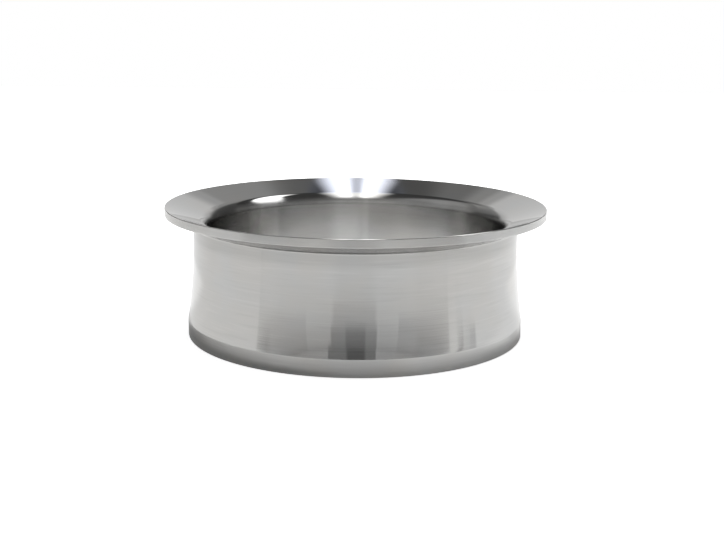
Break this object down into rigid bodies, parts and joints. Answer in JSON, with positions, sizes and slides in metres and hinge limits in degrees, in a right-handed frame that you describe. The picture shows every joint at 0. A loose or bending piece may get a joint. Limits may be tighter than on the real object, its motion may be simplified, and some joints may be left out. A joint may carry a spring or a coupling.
{
  "type": "exhaust clamp flange",
  "caption": "Turned steel exhaust flange: a round clamp rim with a dished conical seat, a waisted neck and a plain end that is welded to a pipe.",
  "frame": {"origin": "centre of the foot, the flat end that is welded to the pipe", "axes": "+Z along the bore axis, from the weld end up to the clamp rim"},
  "size_m": [0.1142, 0.1142, 0.039],
  "materials": {
    "turned_steel": "fine turned"
  },
  "bodies": {
    "root": {"exhaust_flange": "turned_steel"}
  },
  "joints": []
}
